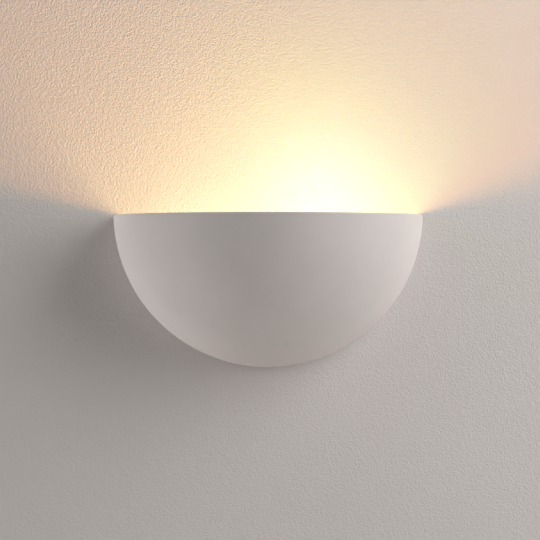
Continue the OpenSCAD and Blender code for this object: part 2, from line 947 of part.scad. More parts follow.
module earth_washer() {
    color(steel)
        out_of_wall(earth_x, strap_t, earth_z)
            ring(earth_washer_r, earth_screw_r + hole_play, earth_washer_t);
}

module earth_ring_terminal() {
    tongue_w = 2 * barrel_r;
    color(steel)
        difference() {
            union() {
                out_of_wall(earth_x, ring_out, earth_z)
                    cylinder(r = ring_r, h = ring_t);
                translate([earth_x, -ring_out - ring_t, earth_z - tongue_w / 2])
                    cube([barrel_from_ring + ring_t, ring_t, tongue_w]);
                translate([earth_x + barrel_from_ring, -barrel_out, earth_z])
                    rotate([0, 90, 0])
                        cylinder(r = barrel_r, h = barrel_len);
            }
            out_of_wall(earth_x, ring_out - past, earth_z)
                cylinder(r = earth_screw_r + hole_play, h = ring_t + 2 * past);
            translate([earth_x + barrel_from_ring + ring_t, -barrel_out, earth_z])
                rotate([0, 90, 0])
                    cylinder(r = lead_r + thread_play, h = barrel_len);
        }
}

module earth_screw() {
    color(steel)
        out_of_wall(earth_x, ring_out + ring_t, earth_z)
            pan_screw(earth_screw_r, ring_out + ring_t - end_recess, earth_head_r, earth_head_h);
}

// ---- Lamp ----

module bulb_globe() {
    color(opal)
        along_lamp(joint_x)
            rotate_extrude()
                intersection() {
                    translate([0, globe_x - joint_x])
                        difference() {
                            circle(r = globe_r);
                            circle(r = globe_r - globe_t);
                        }
                    square([2 * globe_r, 2 * globe_r]);
                }
}

// Radius of the housing at a share of its flare, from the neck to the globe
function housing_r_at(share) = neck_r + (joint_r - neck_r) * (1 - cos(90 * share));

// The flare ends in a plain rim that takes the light-emitting board
module bulb_housing() {
    steps = 10;
    h = joint_x - housing_x;
    flare = h - board_t;
    spigot = collar_len / 2;
    outer = [for (i = [0 : steps]) [housing_r_at(i / steps), flare * i / steps]];
    inner = [for (i = [steps : -1 : 0]) [housing_r_at(i / steps) - housing_t, flare * i / steps]];
    color("white")
        along_lamp(housing_x) {
            rotate_extrude()
                polygon(concat(outer, inner));
            translate([0, 0, flare])
                ring(joint_r, board_r + clamp_fit, board_t);
            translate([0, 0, -spigot])
                ring(cap_room_r - clamp_fit, neck_r - housing_t, spigot);
        }
}

module bulb_led_board() {
    color("white")
        along_lamp(joint_x - board_t)
            cylinder(r = board_r, h = board_t);
}

module bulb_led_chips() {
    color("gold")
        along_lamp(joint_x)
            for (i = [0 : chip_count - 1])
                rotate([0, 0, i * 360 / chip_count])
                    translate([chip_ring_r - chip_w / 2, -chip_w / 2, 0])
                        cube([chip_w, chip_w, chip_h]);
}

module bulb_driver_board() {
    color("darkgreen")
        along_lamp(tip_x + driver_from_tip)
            translate([-driver_t / 2, -driver_w / 2, 0])
                cube([driver_t, driver_w, driver_len]);
}

// Thread as even waves along the cap, then the plain collar
module bulb_screw_cap() {
    steps_a_turn = 8;
    steps = floor(cap_thread_len / cap_pitch * steps_a_turn);
    thread = [
        for (i = [0 : steps])
            let (h = cap_thread_len * i / steps)
                [cap_r - cap_thread_depth / 2 * (1 + cos(360 * h / cap_pitch)), h]
    ];
    cap_len = cap_thread_len + collar_len;
    color(steel)
        along_lamp(cap_x)
            rotate_extrude()
                polygon(concat(
                    [[cap_room_r, 0]], thread,
                    [[collar_r, cap_thread_len + past / 2], [collar_r, cap_len], [cap_room_r, cap_len]]
                ));
}

module bulb_insulator() {
    h = cap_end_len - tip_h;
    color("black")
        along_lamp(tip_x + tip_h)
            rotate_extrude()
                polygon([[0, 0], [tip_r + cap_t, 0], [cap_room_r + cap_t, h], [0, h]]);
}

module bulb_tip_contact() {
    color(steel)
        along_lamp(tip_x)
            cylinder(r = tip_r, h = tip_h);
}

plaster_shell();
hanger_plate_left();
hanger_plate_right();
wall_bracket();
tab_nuts();
thumb_screw(-thumb_x);  // thumb_screw_left
thumb_screw(thumb_x);  // thumb_screw_right
thumb_washer(-thumb_x);  // thumb_washer_left
thumb_washer(thumb_x);  // thumb_washer_right
cable_bush();
holder_arm();
arm_screws();
threaded_nipple();
nipple_nut();
nipple_lock_washer();
lampholder_base();
lampholder_skirt();
lampholder_core();
lampholder_screw_shell();
lampholder_centre_contact();
lampholder_terminals();
lampholder_terminal_screws();
terminal_block_body();
terminal_block_clamps();
terminal_block_screws();
terminal_block_fixing_screws();
live_lead();
neutral_lead();
earth_lead();
earth_ring_terminal();
earth_washer();
earth_screw();
bulb_globe();
bulb_housing();
bulb_led_board();
bulb_led_chips();
bulb_driver_board();
bulb_screw_cap();
bulb_insulator();
bulb_tip_contact();
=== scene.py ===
import math

import bmesh
import bpy
import numpy as np
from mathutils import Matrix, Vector


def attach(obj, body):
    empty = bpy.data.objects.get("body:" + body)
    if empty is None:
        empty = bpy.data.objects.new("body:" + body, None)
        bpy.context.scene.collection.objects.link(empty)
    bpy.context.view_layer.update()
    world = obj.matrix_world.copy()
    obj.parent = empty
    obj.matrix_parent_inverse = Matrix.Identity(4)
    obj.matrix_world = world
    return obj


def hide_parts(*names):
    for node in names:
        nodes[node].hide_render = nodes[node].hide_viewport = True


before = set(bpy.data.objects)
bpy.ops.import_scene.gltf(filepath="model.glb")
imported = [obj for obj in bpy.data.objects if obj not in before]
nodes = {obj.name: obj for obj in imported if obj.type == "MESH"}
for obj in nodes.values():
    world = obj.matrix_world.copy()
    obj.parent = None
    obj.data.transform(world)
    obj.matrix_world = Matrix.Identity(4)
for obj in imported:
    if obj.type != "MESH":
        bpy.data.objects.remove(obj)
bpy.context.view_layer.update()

scene = bpy.context.scene
MM = 0.001

# ---- Sizes repeated from the part's source, in metres ----

HALF_W = 155 * MM
OUT = 120 * MM
SIDE_R = 95 * MM
FRONT_R = (HALF_W**2 + OUT**2 - 2 * HALF_W * SIDE_R) / (2 * (OUT - SIDE_R))
SIDE_X = HALF_W - SIDE_R
FRONT_D = OUT - FRONT_R
AXIS_UP = 60.5 * MM
RIM = 58 * MM
PLASTER_T = 9 * MM
BOSS_X = 122 * MM
BOSS_Y = (-1.5 * MM, -30 * MM)
BOSS_Z = (8.75 * MM, 28.75 * MM)
LAMP_OUT = 48 * MM
LAMP_UP = 18 * MM
GLOBE_X = 52 * MM
LEAD_R = 1.2 * MM
# A direction that no lead runs along, from which the sides of its rings are turned
LEAD_TURN = (0.4, 0.5, -0.8)


# ---- Materials ----

class Shader:
    """A material with a principled shader, and short ways to add nodes to it."""

    def __init__(self, name):
        self.material = bpy.data.materials.new(name)
        self.material.use_nodes = True
        self.tree = self.material.node_tree
        self.surface = self.tree.nodes["Principled BSDF"]
        self.coords = self.tree.nodes.new("ShaderNodeTexCoord").outputs["Object"]

    def node(self, kind, settings=None, inputs=None):
        made = self.tree.nodes.new(kind)
        for key, value in (settings or {}).items():
            setattr(made, key, value)
        for key, value in (inputs or {}).items():
            self.feed(made.inputs[key], value)
        return made

    def feed(self, socket, value):
        if isinstance(value, bpy.types.NodeSocket):
            self.tree.links.new(value, socket)
        else:
            socket.default_value = value

    def set(self, **inputs):
        for key, value in inputs.items():
            self.feed(self.surface.inputs[key.replace("_", " ")], value)

    def noise(self, scale, detail=3.0, roughness=0.55):
        return self.node("ShaderNodeTexNoise", inputs={
            "Vector": self.coords, "Scale": scale, "Detail": detail, "Roughness": roughness,
        }).outputs["Fac"]

    def ranged(self, value, low, high, start=0.0, end=1.0):
        """The value, with start to end made low to high and held there."""
        return self.node("ShaderNodeMapRange", inputs={
            "Value": value, "From Min": start, "From Max": end, "To Min": low, "To Max": high,
        }).outputs[0]

    def mix(self, factor, a, b, blend="MIX"):
        made = self.node("ShaderNodeMix", {"data_type": "RGBA", "blend_type": blend})
        self.feed(made.inputs[0], factor)
        self.feed(made.inputs[6], a)
        self.feed(made.inputs[7], b)
        return made.outputs[2]

    def show_mix(self, share, first, second):
        """Shows the first shader, and in its place the second by the share."""
        both = self.node("ShaderNodeMixShader", inputs={0: share, 1: first, 2: second})
        self.tree.links.new(both.outputs[0], self.tree.nodes["Material Output"].inputs["Surface"])

    def bump(self, height, depth, under=None):
        made = self.node("ShaderNodeBump", inputs={"Height": height, "Distance": depth, "Strength": 1.0})
        if under is not None:
            self.feed(made.inputs["Normal"], under)
        return made.outputs[0]


def srgb(r, g, b):
    """A colour written as it looks on screen, 0 to 255, as the shader wants it."""
    def one(c):
        c /= 255
        return c / 12.92 if c <= 0.04045 else ((c + 0.055) / 1.055) ** 2.4
    return one(r), one(g), one(b), 1.0


def shade(colour, factor):
    """The colour, lighter or darker by the factor."""
    return tuple(min(c * factor, 1.0) for c in colour[:3]) + (1.0,)


def surface(name, colour, rough, metal, mottle, grain, rough_by=0.06, **fixed):
    """A mottled, finely grained surface: mottle is its scale and strength, grain its scale and depth."""
    s = Shader(name)
    scale, strength = mottle
    patches = s.ranged(s.noise(scale, 4), 0.0, 1.0, 0.3, 0.7)
    handled = s.ranged(s.noise(scale * 3, 3), rough - rough_by, rough + rough_by, 0.3, 0.7)
    s.set(Base_Color=s.mix(patches, shade(colour, 1 - strength), shade(colour, 1 + strength)))
    s.set(Roughness=handled, Normal=s.bump(s.noise(grain[0], 3), grain[1]), Metallic=metal, **fixed)
    return s


def plaster_material():
    """Matte cast plaster: broad cloudy tones, finer patches, and a sanded grain with its pores."""
    s = Shader("cast_plaster")
    base = srgb(214, 206, 203)
    broad = s.ranged(s.noise(9, 3, roughness=0.5), 0.0, 1.0, 0.35, 0.65)
    fine = s.ranged(s.noise(70, 4), 0.0, 1.0, 0.3, 0.7)
    tone = s.mix(broad, shade(base, 0.975), shade(base, 1.02))
    dusty = s.mix(1.0, tone, (0.985, 0.985, 0.98, 1), "MULTIPLY")
    sanded = s.bump(s.noise(120, 4, roughness=0.5), 0.05 * MM)
    pores = s.bump(s.noise(1600, 2), 0.012 * MM, sanded)
    s.set(Base_Color=s.mix(fine, dusty, tone), Roughness=s.ranged(fine, 0.78, 0.9), Normal=pores)
    s.set(Specular_IOR_Level=0.25)
    return s.material


# ---- Bowl ----

# The bowl is a side arc and a front arc turned about an axis that stands out from the wall at CENTRE
CENTRE = np.array([0, 0, AXIS_UP])
# Faces of its skin along the rim, and from the rim down
ACROSS, DOWN = 176, 56
# Points on the rim's curve before it is divided evenly
RIM_POINTS = 1601
# Roundings of the rim, and of the inner edge
LIP_R, INNER_LIP_R = 1.4 * MM, 1.6 * MM
# Rounding of the bosses' edges
BOSS_ROUND = 2 * MM
# How far casting and sanding leave each skin uneven
OUTER_SINK, INNER_SINK = 0.16 * MM, 0.45 * MM
# The rim dips at its two ends, within these distances of the wall and of the rim
RIM_DIP, DIP_OUT, DIP_DOWN = 1.0 * MM, 30 * MM, 15 * MM


def profile_joint(inset):
    """Where the side arc of the bowl's plan meets the front arc: distance from the axis, and depth."""
    across, along = SIDE_X, -FRONT_D
    length = math.hypot(across, along)
    r = SIDE_R - inset
    return SIDE_X + r * across / length, r * along / length


def radius_at(depth, inset):
    """The bowl's distance from its axis at a depth from the wall."""
    side = SIDE_X + np.sqrt(np.maximum((SIDE_R - inset) ** 2 - depth**2, 0))
    front = np.sqrt(np.maximum((FRONT_R - inset) ** 2 - (depth - FRONT_D) ** 2, 0))
    return np.where(depth < profile_joint(inset)[1], side, front)


def depth_at(radius, inset):
    """The bowl's depth from the wall at a distance from its axis."""
    side = np.sqrt(np.maximum((SIDE_R - inset) ** 2 - (radius - SIDE_X) ** 2, 0))
    front = FRONT_D + np.sqrt(np.maximum((FRONT_R - inset) ** 2 - radius**2, 0))
    return np.where(radius > profile_joint(inset)[0], side, front)


def resampled(points, count):
    """The same open curve with count equal steps."""
    steps = np.linalg.norm(np.diff(points, axis=0), axis=1)
    along = np.concatenate([[0], np.cumsum(steps)])
    wanted = np.linspace(0, along[-1], count + 1)
    return np.stack([np.interp(wanted, along, points[:, k]) for k in range(3)], axis=1)


def rim_curve(inset, drop, count):
    """The bowl's surface, smaller by inset, cut at drop below the rim, from left to right."""
    low = RIM - drop - AXIS_UP
    reach = math.sqrt(float(radius_at(np.float64(drop), inset)) ** 2 - low**2)
    x = -reach * np.cos(np.linspace(0, math.pi, RIM_POINTS))
    depth = depth_at(np.hypot(x, low), inset)
    depth[[0, -1]] = drop
    return resampled(np.stack([x, -depth, np.full_like(x, AXIS_UP + low)], axis=1), count)


def wall_curve(inset, drop, count):
    """The bowl's surface, smaller by inset, cut at drop in front of the wall, left to right by the bottom."""
    radius = float(radius_at(np.float64(drop), inset))
    tilt = math.asin((AXIS_UP - RIM + drop) / radius)
    turn = np.linspace(math.pi + tilt, 2 * math.pi - tilt, count + 1)
    x, z = radius * np.cos(turn), AXIS_UP + radius * np.sin(turn)
    return np.stack([x, np.full_like(turn, -drop), z], axis=1)


def direction(points):
    """The way from the bowl's centre to each point, of length 1."""
    ray = points - CENTRE
    return ray / np.linalg.norm(ray, axis=-1, keepdims=True)


def onto_bowl(points, inset):
    """Moves points along the lines from the bowl's centre until they lie on its surface."""
    ray = direction(points)
    rise = np.arcsin(np.clip(-ray[..., 1], -1, 1))
    joint_r, joint_d = profile_joint(inset)
    r1, r2 = SIDE_R - inset, FRONT_R - inset
    side = SIDE_X * np.cos(rise) + np.sqrt(np.maximum(r1**2 - (SIDE_X * np.sin(rise)) ** 2, 0))
    front = FRONT_D * np.sin(rise) + np.sqrt(np.maximum(r2**2 - (FRONT_D * np.cos(rise)) ** 2, 0))
    far = np.where(rise < math.atan2(joint_d, joint_r), side, front)
    return CENTRE + ray * far[..., None]


def skin(inset, drop):
    """The bowl's surface as a grid of four sides: the rim, and three stretches of the edge at the wall."""
    arc = wall_curve(inset, drop, ACROSS + 2 * DOWN)
    top, bottom = rim_curve(inset, drop, ACROSS), arc[DOWN:DOWN + ACROSS + 1]
    left, right = arc[:DOWN + 1], arc[DOWN + ACROSS:][::-1]
    t, b, l, r = [direction(curve) for curve in (top, bottom, left, right)]
    u = np.linspace(0, 1, ACROSS + 1)[:, None, None]
    v = np.linspace(0, 1, DOWN + 1)[None, :, None]
    grid = (1 - v) * t[:, None] + v * b[:, None] + (1 - u) * l[None] + u * r[None]
    grid = grid - (1 - u) * (1 - v) * t[0] - u * (1 - v) * t[-1] - (1 - u) * v * b[0] - u * v * b[-1]
    grid = onto_bowl(CENTRE + grid, inset)
    grid[:, 0], grid[:, -1], grid[0], grid[-1] = top, bottom, left, right
    return grid


def edge_loop(inset, drop):
    """One closed line round the edge: along the rim, then back along the wall."""
    along_wall = wall_curve(inset, drop, ACROSS + 2 * DOWN)
    return np.concatenate([rim_curve(inset, drop, ACROSS), along_wall[::-1][1:-1]])


def edge_steps(bends=5, flats=4):
    """Inset and drop of each loop between the skins: rounded rim, flat top and back, rounded inner edge."""
    turns = [math.pi / 2 * k / bends for k in range(1, bends + 1)]
    flat = PLASTER_T - LIP_R - INNER_LIP_R
    steps = [(LIP_R * (1 - math.cos(turn)), LIP_R * (1 - math.sin(turn))) for turn in turns]
    steps += [(LIP_R + flat * k / flats, 0) for k in range(1, flats + 1)]
    steps += [
        (PLASTER_T - INNER_LIP_R * (1 - math.sin(turn)), INNER_LIP_R * (1 - math.cos(turn)))
        for turn in turns[:-1]
    ]
    return steps


def waves(points, seed, high, low=4.0, count=9):
    """Smooth uneven values between 0 and 1 over the bowl, from waves with low to high radians in a radius."""
    rng = np.random.default_rng(seed)
    ray = direction(points)
    total = np.zeros(len(points))
    for _ in range(count):
        way = rng.normal(size=3)
        way *= rng.uniform(low, high) / np.linalg.norm(way)
        total += np.sin(ray @ way + rng.uniform(0, 2 * math.pi))
    return 0.5 + 0.5 * np.clip(total / (1.8 * math.sqrt(count)), -1, 1)


def as_cast(points, share):
    """The points moved in as a casting is uneven: share is 0 on the outer skin and 1 on the inner one."""
    sink = (1 - share) * waves(points, 3, 17) * OUTER_SINK + share * waves(points, 8, 26) * INNER_SINK
    points = points - direction(points) * sink[:, None]
    near_wall = np.clip(1 + points[:, 1] / DIP_OUT, 0, 1)
    near_rim = np.clip(1 - (RIM - points[:, 2]) / DIP_DOWN, 0, 1)
    points[:, 2] -= RIM_DIP * near_wall**2 * near_rim
    return points


def border(index):
    """The point numbers round a grid, in the order of edge_loop."""
    return np.concatenate([index[:, 0], index[-1, 1:], index[-2::-1, -1], index[0, -2:0:-1]])


def bowl_mesh():
    """The whole plaster bowl: outer skin, the loops of edge_steps, inner skin."""
    outer, inner = skin(0, LIP_R), skin(PLASTER_T, INNER_LIP_R)
    steps = edge_steps()
    loops = [edge_loop(inset, drop) for inset, drop in steps]
    grid_size, ring = (ACROSS + 1) * (DOWN + 1), 2 * (ACROSS + DOWN)
    points = np.concatenate([outer.reshape(-1, 3), *loops, inner.reshape(-1, 3)])
    loop_share = np.repeat([inset / PLASTER_T for inset, _ in steps], ring)
    points = as_cast(points, np.concatenate([np.zeros(grid_size), loop_share, np.ones(grid_size)]))

    first = np.arange(grid_size).reshape(ACROSS + 1, DOWN + 1)
    last = first + grid_size + len(loops) * ring
    faces = []
    for index in (first, last):
        corners = np.stack([index[:-1, :-1], index[1:, :-1], index[1:, 1:], index[:-1, 1:]], axis=-1)
        faces += corners.reshape(-1, 4).tolist()
    rows = [grid_size + k * ring + np.arange(ring) for k in range(len(loops))]
    rows = [border(first), *rows, border(last)]
    for a, b in zip(rows, rows[1:]):
        faces += np.stack([a, np.roll(a, -1), np.roll(b, -1), b], axis=-1).tolist()
    return points, faces


def new_object(name, points, faces):
    """A mesh object of these points and faces, with its normals outward."""
    mesh = bpy.data.meshes.new(name)
    mesh.from_pydata([tuple(p) for p in points], [], faces)
    work = bmesh.new()
    work.from_mesh(mesh)
    bmesh.ops.recalc_face_normals(work, faces=work.faces)
    work.to_mesh(mesh)
    work.free()
    made = bpy.data.objects.new(name, mesh)
    scene.collection.objects.link(made)
    return made


def smooth(piece, angle=40):
    """Smooth shading, with the edges over the angle kept sharp."""
    piece.data.shade_smooth()
    piece.data.set_sharp_from_angle(angle=math.radians(angle))


def boss(side):
    """A cast block on the inner wall, its outer end inside the plaster: side is -1 or 1."""
    places = []
    for y in BOSS_Y:
        for z in BOSS_Z:
            end = math.sqrt(float(radius_at(np.float64(-y), PLASTER_T / 2)) ** 2 - (z - AXIS_UP) ** 2)
            places += [(side * BOSS_X, y, z), (side * end, y, z)]
    faces = [(0, 1, 3, 2), (4, 6, 7, 5), (0, 4, 5, 1), (2, 3, 7, 6), (0, 2, 6, 4), (1, 5, 7, 3)]
    block = new_object("boss", places, faces)
    work = bmesh.new()
    work.from_mesh(block.data)
    bmesh.ops.bevel(work, geom=list(work.edges), offset=BOSS_ROUND, segments=4, profile=0.5, affect="EDGES")
    work.to_mesh(block.data)
    work.free()
    return block


def joined(piece, others):
    """The piece with the others fused to it, as one closed mesh."""
    for other in others:
        change = piece.modifiers.new("join", "BOOLEAN")
        change.operation, change.solver, change.object = "UNION", "EXACT", other
    graph = bpy.context.evaluated_depsgraph_get()
    mesh = bpy.data.meshes.new_from_object(piece.evaluated_get(graph))
    piece.modifiers.clear()
    piece.data = mesh
    for other in others:
        bpy.data.objects.remove(other)


bowl = new_object("plaster_bowl", *bowl_mesh())
joined(bowl, [boss(-1), boss(1)])
smooth(bowl)
bowl.data.materials.clear()
bowl.data.materials.append(plaster_material())
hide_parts("plaster_shell")
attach(bowl, "shell")


# ---- Finishes of the metal, plastic and wired parts ----

def opal_material():
    """The lamp's globe, which glows evenly."""
    s = surface("opal_glass", srgb(250, 240, 214), 0.28, 0, (60, 0.01), (300, 0.01 * MM))
    s.set(Emission_Color=srgb(255, 226, 168), Emission_Strength=0.75)
    return s


def enamel_material():
    """White baked enamel on the folded steel."""
    return surface("white_enamel", srgb(226, 224, 218), 0.42, 0, (30, 0.02), (350, 0.03 * MM),
                   Coat_Weight=0.2, Coat_Roughness=0.25)


def polyamide_material():
    """Slightly translucent plastic of the terminal block."""
    return surface("natural_polyamide", srgb(228, 226, 214), 0.38, 0, (70, 0.03), (800, 0.008 * MM),
                   Subsurface_Weight=0.1, Subsurface_Scale=2 * MM)


def insulation(name, colour):
    """Smooth soft plastic round a lead."""
    return surface(name, colour, 0.38, 0, (90, 0.05), (1500, 0.006 * MM))


def metal_finishes():
    def metal(name, colour, rough, mottle, grain, rough_by=0.1):
        return surface(name, colour, rough, 1.0, mottle, grain, rough_by)

    return {
        "zinc_steel": metal("zinc_plate", srgb(186, 188, 190), 0.34, (90, 0.12), (700, 0.012 * MM)),
        "nickel": metal("nickel_plate", srgb(196, 190, 180), 0.24, (120, 0.05), (2500, 0.006 * MM), 0.06),
        "brass": metal("brass", srgb(206, 172, 104), 0.3, (140, 0.12), (1500, 0.008 * MM)),
        "tinned_copper": metal("tinned_copper", srgb(200, 196, 190), 0.3, (200, 0.08), (1800, 0.008 * MM),
                               0.06),
    }


def other_finishes():
    def plain(name, colour, rough, mottle, grain):
        return surface(name, colour, rough, 0, mottle, grain)

    return {
        "white_steel": enamel_material(),
        "block_plastic": polyamide_material(),
        "opal": opal_material(),
        "brown_insulation": insulation("brown_pvc", srgb(110, 66, 40)),
        "blue_insulation": insulation("blue_pvc", srgb(40, 104, 172)),
        "earth_insulation": insulation("green_pvc", srgb(66, 148, 58)),
        "yellow_stripe": insulation("yellow_pvc", srgb(230, 206, 50)),
        "rubber": plain("black_rubber", srgb(44, 43, 42), 0.7, (90, 0.15), (900, 0.03 * MM)),
        "holder_plastic": plain("white_thermoset", srgb(232, 228, 216), 0.4, (60, 0.02), (600, 0.01 * MM)),
        "steatite": plain("steatite", srgb(236, 232, 220), 0.5, (150, 0.03), (900, 0.02 * MM)),
        "white_plastic": plain("white_polycarbonate", srgb(238, 236, 230), 0.36, (60, 0.015),
                               (700, 0.008 * MM)),
        "white_board": plain("white_solder_mask", srgb(236, 238, 236), 0.4, (90, 0.02), (900, 0.008 * MM)),
        "phosphor": plain("yellow_phosphor", srgb(238, 200, 74), 0.5, (400, 0.05), (2500, 0.01 * MM)),
        "green_board": plain("green_solder_mask", srgb(24, 92, 58), 0.32, (300, 0.12), (900, 0.02 * MM)),
        "black_insulator": plain("black_glass", srgb(26, 26, 30), 0.22, (90, 0.1), (900, 0.01 * MM)),
    }


finishes = {**metal_finishes(), **other_finishes()}
# The nodes of each finish
FINISH_OF = {
    "white_steel": "wall_bracket holder_arm",
    "zinc_steel": "hanger_plate_left hanger_plate_right tab_nuts arm_screws nipple_lock_washer "
                  "lampholder_terminal_screws terminal_block_screws terminal_block_fixing_screws "
                  "earth_washer earth_screw",
    "nickel": "thumb_screw_left thumb_screw_right thumb_washer_left thumb_washer_right bulb_screw_cap "
              "bulb_tip_contact",
    "brass": "threaded_nipple nipple_nut lampholder_screw_shell lampholder_centre_contact "
             "lampholder_terminals terminal_block_clamps",
    "tinned_copper": "earth_ring_terminal",
    "rubber": "cable_bush",
    "holder_plastic": "lampholder_base lampholder_skirt",
    "steatite": "lampholder_core",
    "block_plastic": "terminal_block_body",
    "opal": "bulb_globe",
    "white_plastic": "bulb_housing",
    "white_board": "bulb_led_board",
    "phosphor": "bulb_led_chips",
    "green_board": "bulb_driver_board",
    "black_insulator": "bulb_insulator",
}
for finish, names in FINISH_OF.items():
    for name in names.split():
        data = nodes[name].data
        data.materials.clear()
        data.materials.append(finishes[finish].material)


# ---- Leads ----

# The routes of the part's source, in mm
LEADS = {
    "live": ("brown_insulation", [
        (11, -8, 10), (2, -8, 10), (-8, -8.5, 8), (-20, -9, 2.5), (-32, -9, -2), (-45, -10, -2),
        (-57, -15, 1), (-64, -24, 7), (-65, -36, 14), (-58, -45, 19), (-47, -48, 19.5),
        (-36, -48, 19.5), (-26, -48, 19.5), (-22.5, -48, 21), (-19, -48, 23), (-16, -48, 23),
    ]),
    "neutral": ("blue_insulation", [
        (11, -8, 0), (2, -8, 0), (-8, -9, -1), (-20, -9.5, -4), (-32, -9.5, -6), (-45, -11, -7),
        (-58, -17, -4), (-66, -27, 2), (-68, -38, 9), (-60, -46, 15), (-48, -48, 16.5),
        (-36, -48, 16.5), (-26, -48, 16.5), (-22.5, -48, 15), (-19, -48, 13), (-16, -48, 13),
    ]),
    "earth": ("earth_insulation", [
        (11, -8, -10), (4, -8, -10), (-0.5, -7, -9.5), (-4.5, -4.7, -8.2), (-7, -4.5, -8),
        (-9, -4.5, -8), (-10.5, -4.5, -8),
    ]),
}
# Sectors of a lead's section from one yellow stripe to the next, and in a stripe
STRIPE_EVERY, STRIPE_SECTORS = 12, 4
# A lead's rounded end: how far back its outer rings are and how wide, in shares of the lead's radius
ROUNDED_END = [(0.0, 0.55), (0.12, 0.86)]


def through(places, steps=9):
    """A smooth curve through the places, with steps points in each span."""
    p = np.array(places) * MM
    p = np.concatenate([[2 * p[0] - p[1]], p, [2 * p[-1] - p[-2]]])
    t = np.linspace(0, 1, steps, endpoint=False)[:, None]
    spans = [
        0.5 * (2 * b + (c - a) * t + (2 * a - 5 * b + 4 * c - d) * t**2 + (3 * b - a - 3 * c + d) * t**3)
        for a, b, c, d in zip(p, p[1:], p[2:], p[3:])
    ]
    return np.concatenate([*spans, p[-2:-1]])


def tube(name, line, radius, sides=24):
    """A round tube along a line, its ends a little rounded, with the sector number of each face."""
    ahead = np.gradient(line, axis=0)
    ahead /= np.linalg.norm(ahead, axis=1, keepdims=True)
    across = np.cross(ahead[0], LEAD_TURN)
    rings, turn = [], np.linspace(0, 2 * math.pi, sides, endpoint=False)[:, None]
    for place, way in zip(line, ahead):
        across = across - way * (across @ way)
        across /= np.linalg.norm(across)
        rings.append((place, np.cos(turn) * across + np.sin(turn) * np.cross(way, across)))
    first, last = rings[0], rings[-1]
    full = [(first[0] + ahead[0] * radius * back, first[1] * size) for back, size in ROUNDED_END]
    full += rings[1:-1]
    full += [(last[0] - ahead[-1] * radius * back, last[1] * size) for back, size in ROUNDED_END[::-1]]
    points = np.concatenate([place + radius * ring for place, ring in full])
    faces, sectors = [list(range(sides))[::-1]], [0]
    for i in range(len(full) - 1):
        for k in range(sides):
            n = (k + 1) % sides
            faces.append((i * sides + k, i * sides + n, (i + 1) * sides + n, (i + 1) * sides + k))
            sectors.append(k)
    faces.append(range((len(full) - 1) * sides, len(full) * sides))
    sectors.append(0)
    return new_object(name, points, faces), sectors


for name, (finish, route) in LEADS.items():
    lead, sectors = tube(name + "_lead_insulation", through(route), LEAD_R)
    lead.data.materials.append(finishes[finish].material)
    if name == "earth":
        lead.data.materials.append(finishes["yellow_stripe"].material)
        striped = [int(k % STRIPE_EVERY < STRIPE_SECTORS) for k in sectors]
        lead.data.polygons.foreach_set("material_index", striped)
    smooth(lead, 60)
    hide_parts(name + "_lead")
    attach(lead, "bracket")


# ---- Softer edges on the carried-over metal and plastic ----

# Width of the rounding in mm, and the nodes that have it
SOFT_EDGES = {
    0.35: "wall_bracket holder_arm hanger_plate_left hanger_plate_right",
    0.25: "tab_nuts nipple_nut terminal_block_body lampholder_base lampholder_skirt cable_bush bulb_housing",
    0.12: "terminal_block_clamps lampholder_terminals lampholder_core bulb_led_board bulb_driver_board "
          "earth_ring_terminal bulb_insulator",
    0.08: "thumb_washer_left thumb_washer_right earth_washer nipple_lock_washer arm_screws earth_screw "
          "terminal_block_screws terminal_block_fixing_screws lampholder_terminal_screws bulb_led_chips",
}
# Points this near are one point, faces that meet under the first angle are one flat, and edges over the
# second angle are rounded
SAME_PLACE, FLAT_UNDER, SHARP_OVER = 0.001 * MM, 0.5, 32


def soften(piece, width):
    """Joins the faces of each flat, then rounds the sharp edges."""
    weld = piece.modifiers.new("weld", "WELD")
    weld.merge_threshold = SAME_PLACE
    flat = piece.modifiers.new("flat", "DECIMATE")
    flat.decimate_type, flat.angle_limit = "DISSOLVE", math.radians(FLAT_UNDER)
    bevel = piece.modifiers.new("bevel", "BEVEL")
    bevel.width, bevel.segments = width, 3
    bevel.limit_method, bevel.angle_limit = "ANGLE", math.radians(SHARP_OVER)
    bevel.use_clamp_overlap = True
    bevel.harden_normals = True


for width, names in SOFT_EDGES.items():
    for name in names.split():
        soften(nodes[name], width * MM)


# ---- Stage: the wall, a floor far below, soft light ----

# The wall is a hair behind the bowl's back, and the floor runs on far behind it
WALL_Y, WALL_X, WALL_TOP = 0.4 * MM, 1.2, 3
FLOOR_Z, FLOOR_REACH = -1.4, 25
# The floor's even glow, and how much of what shows of the floor it is
FLOOR_COLOUR, FLOOR_GLOW = (0.8, 0.78, 0.755, 1), 0.75


def wall_material():
    """Rolled wall paint, which is clear from behind so that the back of the object shows."""
    s = Shader("painted_wall")
    base = srgb(196, 189, 186)
    tone = s.ranged(s.noise(2.2, 4), 0.0, 1.0, 0.35, 0.65)
    rolled = s.bump(s.noise(210, 1, roughness=0.4), 0.18 * MM)
    stippled = s.bump(s.noise(560, 1, roughness=0.4), 0.46 * MM, rolled)
    s.set(Base_Color=s.mix(tone, shade(base, 0.985), shade(base, 1.015)), Roughness=0.85)
    s.set(Normal=stippled, Specular_IOR_Level=0.2)
    from_behind = s.node("ShaderNodeNewGeometry").outputs["Backfacing"]
    s.show_mix(from_behind, s.surface.outputs[0], s.node("ShaderNodeBsdfTransparent").outputs[0])
    return s.material


def seen_directly(tree):
    """1 for what the camera, a reflection or clear glass shows, 0 for soft light."""
    path = tree.nodes.new("ShaderNodeLightPath")
    share = path.outputs["Is Camera Ray"]
    for ray in ("Is Glossy Ray", "Is Transmission Ray"):
        either = tree.nodes.new("ShaderNodeMath")
        either.operation = "MAXIMUM"
        tree.links.new(share, either.inputs[0])
        tree.links.new(path.outputs[ray], either.inputs[1])
        share = either.outputs[0]
    return share


